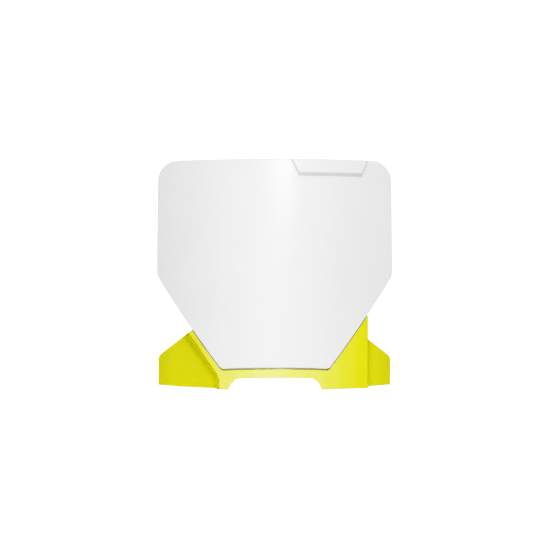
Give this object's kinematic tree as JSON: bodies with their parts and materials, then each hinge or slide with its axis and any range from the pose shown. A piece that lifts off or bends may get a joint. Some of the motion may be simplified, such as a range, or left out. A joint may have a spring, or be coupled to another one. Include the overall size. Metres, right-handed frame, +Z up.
{
  "type": "racing number board",
  "caption": "Curved front number board for an off-road motorcycle: a plain panel with a raised pad, staked to a lower bracket with swept wings.",
  "frame": {"origin": "centre of the screw hole in the tab behind the panel", "axes": "+X right as seen from the front, +Y back towards the rider, +Z up along the screw hole"},
  "size_m": [0.2412, 0.0628, 0.2304],
  "materials": {
    "white_moulding": "semi-gloss moulded",
    "yellow_moulding": "gloss moulded, fluorescent"
  },
  "bodies": {
    "root": {"number_panel": "white_moulding", "lower_bracket": "yellow_moulding"}
  },
  "joints": []
}
